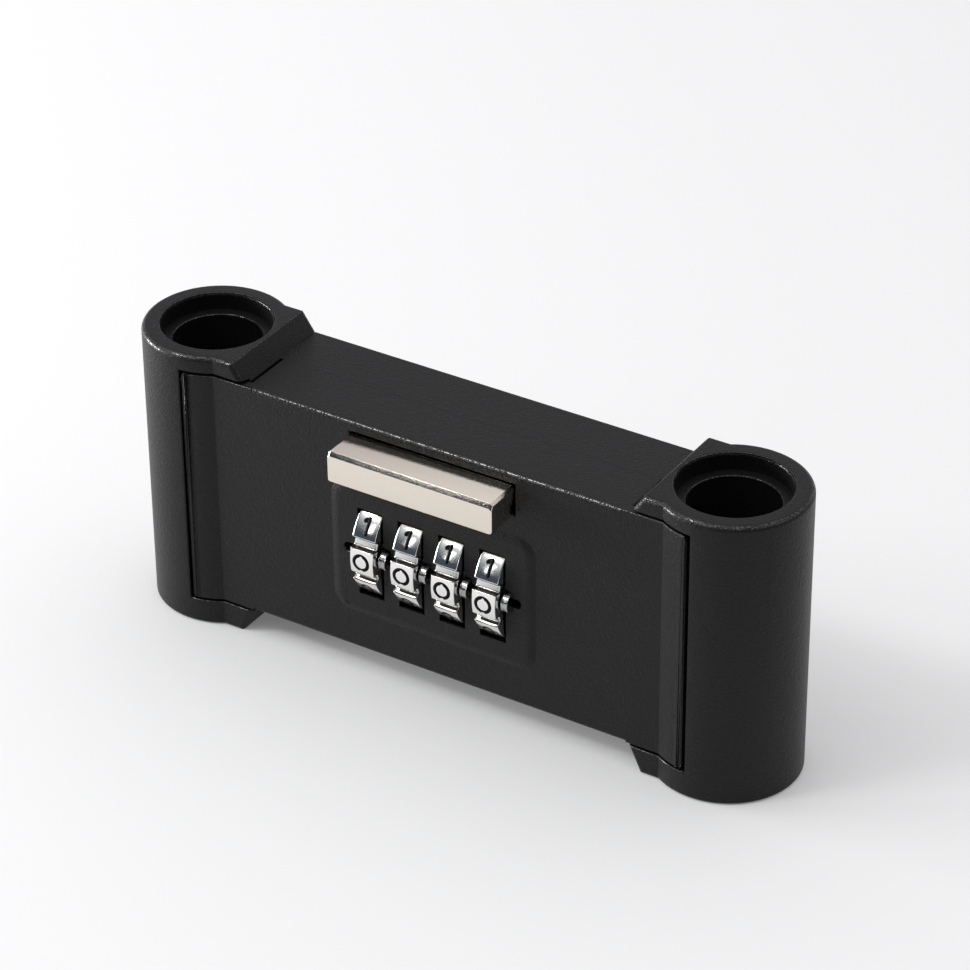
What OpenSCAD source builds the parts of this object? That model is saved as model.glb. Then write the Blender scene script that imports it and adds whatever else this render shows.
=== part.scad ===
// Four-dial combination lock body with a socket for a shackle leg at each end.
// +Z is up the sockets, -Y is the dial side, and the feet of the sleeves stand on Z = 0.

/* [Sleeves] */
// Distance between the two socket axes
socket_pitch = 116.8; // [110:0.1:130]
// Outer radius of each sleeve
sleeve_r = 15; // [14.6:0.1:15.6]
// Height of each sleeve
sleeve_h = 62.4; // [61:0.1:68]
// Rounding of the sleeve rims
rim_round = 1.3; // [0.5:0.1:1.8]
// Rounding around the feet
foot_round = 0.8; // [0.4:0.1:1.4]
// Length of the flat top of a collar, inward from the socket axis
collar_flat = 12.2; // [11.6:0.1:13]
// Length of the ramp from the collar down to the body
ramp_run = 2.9; // [2:0.1:4]

/* [Sockets] */
// Radius of the bore that takes a shackle leg
bore_r = 8.9; // [8:0.05:9.4]
// Radius of the seat at the bore's mouth
seat_r = 11.1; // [10:0.1:11.4]
// Depth of the seat
seat_depth = 3.7; // [2:0.1:3.8]
// Thickness of the closed floor of a socket
socket_floor = 8; // [4:0.5:12]
// Chamfer around the socket's mouth
mouth_chamfer = 0.4; // [0.2:0.1:0.8]
// Radius of the shallow relief under each foot
foot_relief_r = 10.5; // [8:0.5:12]
// Depth of the relief under each foot
foot_relief = 0.8; // [0.4:0.1:1.5]

/* [Body] */
// Thickness of the body between the sleeves, front to back
body_t = 25.6; // [25:0.1:26.4]
// Height of the body's underside above the feet
body_bottom = 6; // [4:0.1:7]
// Drop from the top of the sleeves to the top of the body
body_drop = 4.1; // [3:0.1:4.4]
// Wall thickness of both castings
wall = 2.4; // [2:0.1:2.6]
// Thickness of the top and bottom walls
flange = 2; // [1.6:0.1:2.4]
// Rounding of the body's long edges
body_round = 1; // [0.5:0.1:1.6]
// Plain length at each end of the cover's upper edge
round_runout = 1.8; // [1:0.1:4]

/* [Front cover] */
// Distance from the socket axis to the end of the cover
cover_end = 1.65; // [0.5:0.1:3]
// Slit between the end of the cover and the sleeve
end_gap = 0.65; // [0.3:0.05:0.8]
// Slit between the cover and the collars
edge_gap = 0.5; // [0.2:0.05:0.5]
// Hairline between cover and housing where they meet
seam = 0.04; // [0.02:0.01:0.1]
// Clearance behind the wrapped ends of the cover
wrap_clear = 0.2; // [0.1:0.05:0.4]
// Rounding of the cover's outer corners
cover_corner = 1; // [0.6:0.1:2]

/* [Dial panel] */
// Width of the raised panel
panel_w = 46.6; // [44:0.1:52]
// Height of the raised panel
panel_h = 30.2; // [26:0.1:31]
// Corner radius of the panel
panel_corner = 4.2; // [3:0.1:6]
// How far the panel stands out of the cover
panel_raise = 0.6; // [0.4:0.05:1]
// Width of the panel's sloping edge
panel_bevel = 1.5; // [1:0.1:2]
// Height of a window
window_h = 19.8; // [18.6:0.1:20.6]
// Height of the slot that runs through the windows
slot_h = 2; // [1.2:0.1:3]
// Length of that slot
slot_len = 40.4; // [39:0.1:42]

/* [Number wheels] */
// Radius of a number wheel
wheel_r = 12.5; // [12:0.1:12.8]
// Width of a number wheel
wheel_w = 5.3; // [4.6:0.1:5.4]
// Distance from wheel to wheel
wheel_pitch = 9.3; // [9.1:0.1:9.8]
// How far the wheels stand out of the panel
wheel_proud = 3.7; // [3:0.1:4]
// How far the wheel axis lies below the middle of the body
dial_drop = 2.45; // [1:0.05:4]
// Clearance on each side of a wheel in its window
wheel_side_clear = 0.3; // [0.3:0.05:0.4]
// Radial clearance around the wheels
wheel_clear = 0.4; // [0.3:0.05:0.5]
// Angle that one number's facet spans
facet_angle = 24.5; // [20:0.5:27]
// Depth of the notches between the facets
notch_depth = 1.35; // [0.8:0.05:1.8]
// Chamfer along the rims of a wheel
wheel_chamfer = 0.25; // [0.1:0.05:0.5]

/* [Hubs and spindle] */
// Radius of the spindle
spindle_r = 2; // [1.6:0.1:2.2]
// Running clearance of hub, spindle and bolts, on the radius
running_fit = 0.05; // [0.03:0.01:0.08]
// Clearance of pressed and screwed pieces, on the radius
press_gap = 0.03; // [0.02:0.01:0.05]
// Radius of a hub inside its wheel
hub_r = 6; // [5:0.1:7]
// Radius of the locking cam on a hub
cam_r = 4.2; // [4:0.05:4.4]
// Width of the locking cam
cam_w = 1.9; // [1.7:0.1:2]
// Height above the axis at which the cam is cut flat
cam_flat = 3.1; // [2.8:0.05:3.2]
// Radius of the boss that spaces a hub from the next one
hub_boss_r = 3.2; // [2.8:0.1:3.6]
// End play of each hub on the spindle
end_play = 0.15; // [0.1:0.05:0.3]

/* [Release bar] */
// Length of the release bar
bar_len = 37; // [34:0.1:40]
// Height of the release bar
bar_h = 6.7; // [6:0.1:6.8]
// How far the bar stands out of the cover when the lock is open
bar_proud = 8.1; // [7.5:0.1:9]
// Chamfer along the bar's upper edges
bar_chamfer = 0.8; // [0.4:0.1:1.2]
// Clearance of the bar in its opening
bar_clear = 0.25; // [0.2:0.05:0.3]
// Travel of the bar from open to locked
bar_travel = 6.5; // [6.2:0.1:6.5]
// Travel of each locking bolt
bolt_travel = 5.2; // [4:0.1:5.5]
// Length of the carrier at its wide front
carrier_w = 50.8; // [50:0.1:52]

/* [Bolts and springs] */
// Radius of a locking bolt
bolt_r = 3.5; // [3:0.1:3.7]
// Radius of the collar on a bolt
bolt_collar_r = 4.6; // [4.4:0.1:4.8]
// Thickness of the collar on a bolt
bolt_collar_w = 1.2; // [1:0.1:1.5]
// How far an open bolt's tip stays behind the bore's wall
bolt_setback = 0.5; // [0.3:0.1:1]
// Radius of a spring's wire
wire_r = 0.3; // [0.25:0.05:0.35]
// Outer radius of a bar spring
bar_spring_r = 2.6; // [2.3:0.1:2.7]
// Depth of a bar spring's pocket in the carrier
pocket_depth = 8.4; // [7:0.1:9]

/* [Inner frame] */
// Thickness of the wheel frame's sheet
frame_t = 1.6; // [1.4:0.1:1.8]
// Thickness of the fence plate
fence_t = 1.2; // [1:0.1:1.3]
// Width of a fence tongue
tongue_w = 1.5; // [1.2:0.1:1.6]
// Thickness of the index comb
comb_t = 1.2; // [0.8:0.1:1.2]
// Height of the index comb's spine
comb_h = 4.9; // [4.6:0.1:6]
// Radius of the rounded nose of an index mark
index_r = 2.1; // [1.6:0.1:2.4]
// Thickness of the detent leaf
leaf_t = 0.4; // [0.3:0.05:0.5]

/* [Fasteners] */
// Shank radius of the cover screws
screw_r = 1.5; // [1.3:0.1:1.6]
// Head radius of the cover screws
screw_head_r = 2.9; // [2.7:0.1:3.1]
// Shank radius of the small screws and rivets
small_r = 1.2; // [1:0.1:1.3]
// Head radius of the small screws
small_head_r = 2.1; // [1.9:0.1:2.3]
// Radius of the screw bosses
boss_r = 3.6; // [3.4:0.1:4]

/* [Hidden] */
$fn = 96;

casting = "#2b2a2c";
nickel = "#cfc6ba";
chrome = "#d8dade";
zinc = "#9aa0a6";
steel = "#b9bcc0";
spring_steel = "#8d9298";

big = 200;
eps = 0.01;

// Sleeves and body
socket_x = socket_pitch / 2;
half_t = body_t / 2;
body_top = sleeve_h - body_drop;
collar_x = socket_x - collar_flat;
ramp_x = collar_x - ramp_run;
seat_z = sleeve_h - seat_depth;
inner_y = half_t - wall;
inner_bottom = body_bottom + flange;
inner_top = body_top - flange;
end_wall = 1.8;
cavity_x = ramp_x - end_wall;
cover_x = socket_x - cover_end;
cover_wall_x = ramp_x - edge_gap;

// Wheels and their axis
dial_z = (body_bottom + body_top) / 2 - dial_drop;
wheel_count = 4;
number_count = 10;
panel_y = half_t + panel_raise;
axle_y = wheel_r - wheel_proud - panel_y;
window_w = wheel_w + 2 * wheel_side_clear;
gap_x = wheel_w / 2 + wheel_side_clear;
hub_end = wheel_pitch - wheel_w / 2 - end_play;
function wheel_x(i) = (i - (wheel_count - 1) / 2) * wheel_pitch;

// Fence: its tongues pass over the cams' flats from one side to the other
part_gap = 0.3;
fence_gap = 0.4;
tongue_t = 1.2;
tongue_rise = cam_flat + 2 * part_gap;
tongue_y = bar_travel / 2;
fence_z = dial_z + wheel_r + wheel_clear + fence_gap;

// Release bar and carrier
bar_drop = 0.25;
bar_top = inner_top - bar_clear - bar_drop;
bar_z = bar_top - bar_h / 2;
bar_front = half_t + bar_proud;
carrier_front = inner_y - part_gap;
rear_gap = 0.5;
carrier_back = inner_y - bar_travel - rear_gap;
carrier_bottom = fence_z + fence_t;
carrier_top = inner_top - part_gap;
wedge = bolt_travel / bar_travel;
spring_x = 9.8;
peg = 1.8;
bar_screw_x = 4.2;
bar_screw_end = 5.5;
bar_head_h = 1.6;
rivet_x = 5.5;
rivet_y = 0.3;
rivet_top = bar_z - small_head_r - 2 * part_gap;

// Bolts, along X at the middle of the body
bolt_drop = 5.4;
bolt_z = carrier_top - bolt_drop;
bolt_tip = socket_x - bore_r - bolt_setback;
bolt_nose = 0.8;
rib_gap = 2.1;
rib_x = carrier_w / 2 + rib_gap;
rib_w = 2;
rib_front = 5.2;
rib_skirt = 2;
rib_bottom = bolt_z - bolt_r - rib_skirt;
bolt_collar_x = rib_x + rib_w + part_gap;
wedge_gap = 0.4;

// Wheel frame, carried by the cover
ear_x = wheel_x(wheel_count - 1) + hub_end + 2 * end_play;
ear_h = 6.3;
ear_back = 1.5;
frame_z = dial_z - wheel_r - wheel_clear - part_gap - frame_t;
frame_boss = 2;
frame_front = inner_y - frame_boss;
frame_back = 6.2;
lug_reach = 6;
lug_edge = 3;
lug_margin = 0.45;
frame_screw_x = ear_x + lug_reach;
frame_screw_rise = 6.3;
lip_h = 3.6;
lip_bottom = frame_z - lip_h;
lug_end = frame_screw_x + lug_edge;
lug_h = 2 * (small_head_r + lug_margin);
head_h = 1.1;
head_web = 0.5;
thread_end = 1.2;

// Index comb and detent
comb_gap = 0.1;
comb_rise = 0.8;
comb_front = inner_y - comb_gap;
comb_bottom = inner_bottom + comb_rise;
comb_top = comb_bottom + comb_h;
comb_screw_x = wheel_pitch;
comb_screw_z = (comb_bottom + comb_top) / 2;
plate_front = comb_front - comb_t - head_h - part_gap;
leaf_rivet_x = wheel_pitch;
leaf_rivet_z = (lip_bottom + frame_z) / 2 + comb_gap;
leaf_y = frame_back + frame_t;
detent_angle = 18;
detent_bump_r = 0.8;
rivet_head_h = 0.7;
leaf_edge = 1;
detent_r = wheel_r + wheel_clear + detent_bump_r;
detent_y = axle_y + detent_r * cos(detent_angle);
detent_z = dial_z - detent_r * sin(detent_angle);

// Fasteners
boss_gap = 1.9;
lower_screw = 5.5;
upper_screw = 9.6;
screw_x = cavity_x - boss_r - boss_gap;
screw_z = [inner_bottom + lower_screw, bolt_z - upper_screw];
screw_end = 7;
hole_skin = 0.9;
head_sink = 0.1;
key_depth = 1.4;
clip_r = 3.4;
clip_t = 0.6;
clip_groove = 0.4;
clip_gap = 0.1;
spindle_tip = 1.2;
clip_x = ear_x + frame_t + clip_gap;
spindle_end = clip_x + clip_t + spindle_tip;

// The origin is the middle of the footprint, the open bar included
origin_y = (bar_front - sleeve_r) / 2;

module placed() {
    translate([0, origin_y, 0]) children();
}

module both_sides() {
    children();
    mirror([1, 0, 0]) children();
}

// Sweeps a shape drawn in Y and Z along X, centred
module along_x(length) {
    rotate([90, 0, 90]) linear_extrude(length, center = true) children();
}

// Sweeps a shape drawn in X and Z along Y, centred
module along_y(length) {
    rotate([90, 0, 0]) linear_extrude(length, center = true) children();
}

// Rod along X from x0 to x1
module rod_x(x0, x1, r) {
    translate([x0, 0, 0]) rotate([0, 90, 0]) cylinder(h = x1 - x0, r = r);
}

// Rod along Y from y0 to y1
module rod_y(y0, y1, r) {
    translate([0, y1, 0]) rotate([90, 0, 0]) cylinder(h = y1 - y0, r = r);
}

// Box given by its lowest and highest corners
module span(a, b) {
    translate(a) cube([b[0] - a[0], b[1] - a[1], b[2] - a[2]]);
}

// Rectangle from a to b with round corners
module rounded_rect(a, b, r) {
    translate([a[0] + r, a[1]]) square([b[0] - a[0] - 2 * r, b[1] - a[1]]);
    translate([a[0], a[1] + r]) square([b[0] - a[0], b[1] - a[1] - 2 * r]);
    for (x = [a[0] + r, b[0] - r], y = [a[1] + r, b[1] - r]) translate([x, y]) circle(r);
}

// Plan of the lock: two round ends joined by a straight bar
module outline(inset) {
    for (s = [-1, 1]) translate([s * socket_x, 0]) circle(sleeve_r - inset);
    square([2 * socket_x, body_t - 2 * inset], center = true);
}

// Coil spring along +Z, its end turns lying on both ends of its length
module coil(r, length, turns) {
    steps = turns * 16;
    sides = 8;
    mean = r - wire_r;
    rise = (length - 2 * wire_r) / steps;
    function ring_point(i, k) =
        let (a = 360 * i / 16, b = 360 * k / sides, rr = mean + wire_r * cos(b))
        [rr * cos(a), rr * sin(a), wire_r + i * rise + wire_r * sin(b)];
    points = [for (i = [0:steps], k = [0:sides - 1]) ring_point(i, k)];
    walls = [for (i = [0:steps - 1], k = [0:sides - 1])
        let (n = (k + 1) % sides, p = i * sides, q = (i + 1) * sides) [p + k, p + n, q + n, q + k]];
    first = [for (k = [sides - 1:-1:0]) k];
    last = [for (k = [0:sides - 1]) steps * sides + k];
    polyhedron(points = points, faces = concat(walls, [first, last]));
}

// ---- Castings ----

// Rectangle from y0 to y1 and from the feet to the rims, its edges rounded
module sleeve_section(y0, y1) {
    rounded_rect([y0, 0], [y1, sleeve_h - rim_round - eps], foot_round);
    rounded_rect([y0, foot_round + eps], [y1, sleeve_h], rim_round);
}

// Everything on the sleeve's side of the two ramps, as wide as w and with rounded long edges
module between_ramps(w, r) {
    intersection() {
        translate([ramp_x, 0, body_top]) rotate([0, -atan2(body_drop, ramp_run), 0])
            along_x(big) rounded_rect([-w / 2, -big], [w / 2, 0], r);
        translate([ramp_x, 0, body_bottom]) rotate([0, atan2(body_bottom, ramp_run), 0])
            along_x(big) rounded_rect([-w / 2, 0], [w / 2, big], r);
    }
}

module sleeve() {
    intersection() {
        translate([socket_x, 0, 0]) rotate_extrude() intersection() {
            sleeve_section(-sleeve_r, sleeve_r);
            square([sleeve_r, sleeve_h]);
        }
        between_ramps(big, rim_round);
    }
    intersection() {
        translate([(ramp_x + socket_x) / 2, 0, 0]) along_x(socket_x - ramp_x) sleeve_section(-half_t, half_t);
        between_ramps(body_t, rim_round);
    }
}

// What the cover takes out of the housing's front, slits included
module cover_pocket() {
    translate([0, 0, body_bottom - edge_gap]) linear_extrude(body_top - body_bottom + 2 * edge_gap)
        difference() {
            translate([-cover_x - end_gap, -big]) square([2 * (cover_x + end_gap), big]);
            outline(wall + wrap_clear);
        }
}

module socket() {
    translate([socket_x, 0, socket_floor]) cylinder(h = sleeve_h, r = bore_r);
    translate([socket_x, 0, seat_z]) cylinder(h = sleeve_h, r = seat_r);
    translate([socket_x, 0, sleeve_h - mouth_chamfer])
        cylinder(h = mouth_chamfer + eps, r1 = seat_r, r2 = seat_r + mouth_chamfer + eps);
    translate([socket_x, 0, -eps]) cylinder(h = foot_relief + eps, r = foot_relief_r);
}

module cover_screw_holes() {
    for (z = screw_z) translate([screw_x, 0, z]) {
        rod_y(-screw_end - rear_gap, big, screw_r + press_gap);
        translate([0, half_t + eps, 0]) rotate([90, 0, 0])
            cylinder(h = screw_head_r - screw_r, r1 = screw_head_r + press_gap, r2 = screw_r + press_gap);
    }
}

module rear_housing() {
    color(casting) placed() difference() {
        union() {
            difference() {
                union() {
                    both_sides() sleeve();
                    along_x(2 * ramp_x + 2 * eps) rounded_rect([-half_t, body_bottom], [half_t, body_top], body_round);
                }
                cover_pocket();
                span([-cavity_x, -big, inner_bottom], [cavity_x, inner_y, inner_top]);
                span([-ramp_x, -big, body_bottom - big], [ramp_x, 0, body_top + big]);
            }
            both_sides() {
                span([rib_x, -rib_front, rib_bottom], [rib_x + rib_w, eps, inner_top - part_gap]);
                span([rib_x, 0, rib_bottom], [rib_x + rib_w, inner_y + eps, inner_top + eps]);
                for (z = screw_z) translate([screw_x, 0, z]) rod_y(0, inner_y + eps, boss_r);
                translate([spring_x, 0, bolt_z]) rod_y(inner_y - peg, inner_y + eps, bar_spring_r - 2 * wire_r - wrap_clear);
            }
        }
        both_sides() {
            socket();
            translate([0, 0, bolt_z]) rod_x(rib_x - 1, socket_x, bolt_r + running_fit);
            cover_screw_holes();
        }
    }
}

// Frustum with round corners, drawn in X and Y and raised along Z
module bevelled_pad(w, h, raise, bevel, r) {
    sunk = 0.5;
    for (x = [-1, 1], y = [-1, 1]) translate([x * (w / 2 - r), y * (h / 2 - r), 0]) {
        cylinder(h = raise, r1 = r, r2 = r - bevel);
        translate([0, 0, -sunk]) cylinder(h = sunk, r = r);
    }
    rotate([90, 0, 0]) linear_extrude(h - 2 * r, center = true) pad_profile(w, raise, bevel, sunk);
    rotate([90, 0, 90]) linear_extrude(w - 2 * r, center = true) pad_profile(h, raise, bevel, sunk);
}

module pad_profile(w, raise, bevel, sunk) {
    polygon([
        [-w / 2, -sunk], [w / 2, -sunk], [w / 2, 0],
        [w / 2 - bevel, raise], [bevel - w / 2, raise], [-w / 2, 0]
    ]);
}

module cover_shell() {
    difference() {
        intersection() {
            difference() {
                translate([0, 0, body_bottom]) linear_extrude(body_top - body_bottom) outline(0);
                along_x(2 * (ramp_x - round_runout)) difference() {
                    translate([-big, body_bottom + body_round]) square([2 * big, big]);
                    rounded_rect([-half_t, body_bottom], [half_t, body_top], body_round);
                }
                along_x(2 * ramp_x) difference() {
                    translate([-big, body_bottom + body_round - big]) square([2 * big, big]);
                    rounded_rect([-half_t, body_bottom], [half_t, body_top], body_round);
                }
            }
            along_y(big) rounded_rect([-cover_x, body_bottom], [cover_x, body_top], cover_corner);
            span([-cover_x, -big, body_bottom], [cover_x, -seam, body_top]);
        }
        translate([0, 0, inner_bottom]) linear_extrude(inner_top - inner_bottom) outline(wall);
        translate([0, 0, -eps]) linear_extrude(sleeve_h) for (s = [-1, 1]) intersection() {
            outline(wall);
            translate([s * (cover_wall_x + big / 2), 0]) square([big, big], center = true);
        }
    }
}

module window(i) {
    translate([wheel_x(i), axle_y, dial_z]) {
        span([-window_w / 2, -wheel_r - 5, -window_h / 2], [window_w / 2, 0, window_h / 2]);
        rod_x(-window_w / 2, window_w / 2, wheel_r + wheel_clear);
    }
}

module index_slot(i) {
    x = wheel_x(i) + gap_x - 0.05;
    span([x, -panel_y - 1, dial_z - index_r - press_gap],
         [x + tongue_w + 0.1, -inner_y + 1, dial_z + index_r + press_gap]);
}

module front_cover() {
    color(casting) placed() difference() {
        union() {
            cover_shell();
            translate([0, -half_t, dial_z]) rotate([90, 0, 0])
                bevelled_pad(panel_w, panel_h, panel_raise, panel_bevel, panel_corner);
            both_sides() {
                for (z = screw_z) translate([screw_x, 0, z]) rod_y(-inner_y - eps, -seam, boss_r);
                for (s = [-1, 1]) translate([frame_screw_x, 0, dial_z + s * frame_screw_rise])
                    rod_y(-inner_y - eps, -frame_front, boss_r - 0.8);
            }
        }
        for (i = [0:wheel_count - 1]) {
            window(i);
            index_slot(i);
        }
        translate([0, -panel_y, 0]) along_y(2 * wall + 4) rounded_rect(
            [-slot_len / 2, dial_z - slot_h / 2], [slot_len / 2, dial_z + slot_h / 2], slot_h / 2 - eps);
        span([-bar_len / 2 - bar_clear, -half_t - 1, bar_top - bar_h - bar_clear],
             [bar_len / 2 + bar_clear, -inner_y + 1, bar_top + bar_clear]);
        both_sides() {
            cover_screw_holes();
            for (s = [-1, 1]) translate([frame_screw_x, 0, dial_z + s * frame_screw_rise])
                rod_y(hole_skin - half_t, 0, small_r + press_gap);
        }
        for (s = [-1, 1]) translate([s * comb_screw_x, 0, comb_screw_z])
            rod_y(hole_skin - half_t, 0, small_r + press_gap);
    }
}

// Countersunk screw with a hexagon socket, head outwards along +Y
module countersunk_screw() {
    difference() {
        union() {
            rod_y(-screw_end, half_t - head_sink, screw_r);
            translate([0, half_t - head_sink, 0]) rotate([90, 0, 0])
                cylinder(h = screw_head_r - head_sink - screw_r, r1 = screw_head_r - head_sink, r2 = screw_r);
        }
        translate([0, half_t, 0]) rotate([90, 0, 0]) cylinder(h = key_depth, r = screw_r * 0.8, $fn = 6);
    }
}

module cover_screws() {
    color(spring_steel) placed() both_sides()
        for (z = screw_z) translate([screw_x, 0, z]) countersunk_screw();
}

// ---- Release bar and what moves with it ----

module release_bar() {
    color(nickel) placed() difference() {
        intersection() {
            along_x(bar_len) polygon([
                [-bar_front, bar_top - bar_h], [-carrier_front, bar_top - bar_h], [-carrier_front, bar_top],
                [-bar_front + bar_chamfer, bar_top], [-bar_front, bar_top - bar_chamfer]
            ]);
            along_y(big) polygon([
                [-bar_len / 2, bar_top - bar_h], [bar_len / 2, bar_top - bar_h],
                [bar_len / 2, bar_top - bar_chamfer], [bar_len / 2 - bar_chamfer, bar_top],
                [bar_chamfer - bar_len / 2, bar_top], [-bar_len / 2, bar_top - bar_chamfer]
            ]);
        }
        both_sides() translate([bar_screw_x, 0, bar_z]) rod_y(-carrier_front - bar_screw_end - rear_gap, 0, small_r + press_gap);
    }
}

// Distance from the middle to the carrier's sloping end, at depth y
function wedge_x(y) = carrier_w / 2 - wedge * (y + carrier_front);

module bar_carrier() {
    color(zinc) placed() difference() {
        translate([0, 0, carrier_bottom]) linear_extrude(carrier_top - carrier_bottom) polygon([
            [-wedge_x(-carrier_front), -carrier_front], [wedge_x(-carrier_front), -carrier_front],
            [wedge_x(carrier_back), carrier_back], [-wedge_x(carrier_back), carrier_back]
        ]);
        both_sides() {
            translate([spring_x, 0, bolt_z]) rod_y(carrier_back - pocket_depth, big, bar_spring_r + part_gap);
            translate([bar_screw_x, 0, bar_z]) {
                rod_y(-big, big, small_r + press_gap);
                rod_y(carrier_back - bar_head_h, big, small_head_r + press_gap);
            }
            translate([rivet_x, rivet_y, fence_z]) cylinder(h = rivet_top - fence_z, r = small_r + press_gap);
        }
    }
}

module bar_screws() {
    color(steel) placed() both_sides() translate([bar_screw_x, 0, bar_z]) {
        rod_y(-carrier_front - bar_screw_end, carrier_back - bar_head_h, small_r);
        difference() {
            rod_y(carrier_back - bar_head_h, carrier_back - head_sink, small_head_r);
            rod_y(carrier_back - bar_head_h + head_web, carrier_back, small_r * 0.7);
        }
    }
}

module fence_plate() {
    color(steel) placed() difference() {
        union() {
            span([wheel_x(0) + gap_x, axle_y - tongue_y - tongue_t / 2, fence_z],
                 [wheel_x(wheel_count - 1) + gap_x + tongue_w, carrier_back - rear_gap, fence_z + fence_t]);
            for (i = [0:wheel_count - 1]) translate([wheel_x(i) + gap_x, axle_y - tongue_y, 0])
                span([0, -tongue_t / 2, dial_z + tongue_rise], [tongue_w, tongue_t / 2, fence_z + eps]);
        }
        both_sides() translate([rivet_x, rivet_y, 0]) cylinder(h = big, r = small_r + press_gap);
    }
}

module fence_rivets() {
    color(steel) placed() both_sides()
        translate([rivet_x, rivet_y, fence_z + seam]) cylinder(h = rivet_top - fence_z - 2 * seam, r = small_r);
}

module bar_spring(side) {
    color(spring_steel) placed() translate([side * spring_x, inner_y - seam, bolt_z]) rotate([90, 0, 0])
        coil(bar_spring_r, inner_y - 2 * seam - carrier_back + pocket_depth, 7);
}

module bar_spring_left() {
    bar_spring(-1);
}

module bar_spring_right() {
    bar_spring(1);
}

// ---- Locking bolts ----

module locking_bolt() {
    tail = wedge_x(bolt_r) + wedge_gap;
    translate([0, 0, bolt_z]) difference() {
        union() {
            rod_x(tail, bolt_tip - bolt_nose, bolt_r);
            translate([bolt_tip - bolt_nose, 0, 0]) rotate([0, 90, 0])
                cylinder(h = bolt_nose, r1 = bolt_r, r2 = bolt_r - bolt_nose);
            rod_x(bolt_collar_x, bolt_collar_x + bolt_collar_w, bolt_collar_r);
        }
        linear_extrude(4 * bolt_r, center = true) polygon([
            [0, -bolt_r - 1], [wedge_x(-bolt_r - 1) + wedge_gap, -bolt_r - 1],
            [wedge_x(bolt_r + 1) + wedge_gap, bolt_r + 1], [0, bolt_r + 1]
        ]);
    }
}

module locking_bolt_right() {
    color(steel) placed() locking_bolt();
}

module locking_bolt_left() {
    color(steel) placed() mirror([1, 0, 0]) locking_bolt();
}

module bolt_spring() {
    x = bolt_collar_x + bolt_collar_w + 0.05;
    translate([x, 0, bolt_z]) rotate([0, 90, 0]) coil(bolt_collar_r - 0.1, cavity_x - 0.05 - x, 5);
}

module bolt_spring_right() {
    color(spring_steel) placed() bolt_spring();
}

module bolt_spring_left() {
    color(spring_steel) placed() mirror([1, 0, 0]) bolt_spring();
}

// ---- Wheels on their spindle ----

module number_wheel(i) {
    half = wheel_w / 2;
    top = 2 * wheel_r * sin((360 / number_count - facet_angle) / 2);
    floor_w = top * 0.55;
    color(chrome) placed() translate([wheel_x(i), axle_y, dial_z]) difference() {
        rotate([0, 90, 0]) rotate_extrude() polygon([
            [hub_r + running_fit, -half], [wheel_r - wheel_chamfer, -half], [wheel_r, wheel_chamfer - half],
            [wheel_r, half - wheel_chamfer], [wheel_r - wheel_chamfer, half], [hub_r + running_fit, half]
        ]);
        for (k = [0:number_count - 1]) rotate([(k + 0.5) * 360 / number_count, 0, 0])
            along_x(wheel_w + 1) polygon([
                [-wheel_r - 1, -top / 2 - 0.3], [-wheel_r - 1, top / 2 + 0.3],
                [-wheel_r + notch_depth, floor_w / 2], [-wheel_r + notch_depth, -floor_w / 2]
            ]);
    }
}

module number_wheel_1() {
    number_wheel(0);
}

module number_wheel_2() {
    number_wheel(1);
}

module number_wheel_3() {
    number_wheel(2);
}

module number_wheel_4() {
    number_wheel(3);
}

module wheel_hub(i) {
    half = wheel_w / 2;
    color(chrome) placed() translate([wheel_x(i), axle_y, dial_z]) difference() {
        union() {
            rod_x(-half, half + eps, hub_r);
            rod_x(half, hub_end, hub_boss_r);
            difference() {
                rod_x(half, half + cam_w, cam_r);
                span([half + eps, -cam_r, cam_flat], [half + cam_w + 1, cam_r, cam_r + 1]);
            }
        }
        rod_x(-half - 1, hub_end + 1, spindle_r + running_fit);
    }
}

module wheel_hub_1() {
    wheel_hub(0);
}

module wheel_hub_2() {
    wheel_hub(1);
}

module wheel_hub_3() {
    wheel_hub(2);
}

module wheel_hub_4() {
    wheel_hub(3);
}

module spindle() {
    color(steel) placed() translate([0, axle_y, dial_z]) difference() {
        rod_x(-spindle_end, spindle_end, spindle_r);
        both_sides() difference() {
            rod_x(clip_x - 0.05, clip_x + clip_t + 0.05, spindle_r + 1);
            rod_x(clip_x - 1, clip_x + clip_t + 1, spindle_r - clip_groove);
        }
    }
}

module spindle_spacer() {
    color(zinc) placed() translate([0, axle_y, dial_z]) difference() {
        rod_x(0.1 - ear_x, wheel_x(0) - wheel_w / 2 - end_play, hub_boss_r);
        rod_x(-ear_x - 1, 0, spindle_r + running_fit);
    }
}

module spindle_clips() {
    color(spring_steel) placed() translate([0, axle_y, dial_z]) both_sides() difference() {
        rod_x(clip_x, clip_x + clip_t, clip_r);
        rod_x(clip_x - 1, clip_x + clip_t + 1, spindle_r - clip_groove + press_gap);
        span([clip_x - 1, clip_groove - spindle_r, -big], [clip_x + clip_t + 1, spindle_r - clip_groove, 0]);
    }
}

// ---- Frame, index comb and detent ----

module wheel_frame() {
    color(zinc) placed() difference() {
        union() {
            span([-ear_x - frame_t, -plate_front, frame_z], [ear_x + frame_t, frame_back, frame_z + frame_t]);
            span([-ear_x - frame_t, frame_back, lip_bottom],
                 [ear_x + frame_t, frame_back + frame_t, frame_z + frame_t]);
            both_sides() {
                span([ear_x, -frame_front, frame_z], [ear_x + frame_t, ear_back, dial_z + ear_h]);
                for (s = [-1, 1]) translate([0, 0, dial_z + s * frame_screw_rise])
                    span([ear_x, -frame_front, -lug_h / 2], [lug_end, frame_t - frame_front, lug_h / 2]);
            }
        }
        translate([0, axle_y, dial_z]) rod_x(-big, big, spindle_r + press_gap);
        both_sides() {
            for (s = [-1, 1]) translate([frame_screw_x, 0, dial_z + s * frame_screw_rise])
                rod_y(-big, big, small_r + press_gap);
            translate([leaf_rivet_x, 0, leaf_rivet_z]) rod_y(0, big, small_r + press_gap);
        }
    }
}

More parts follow.
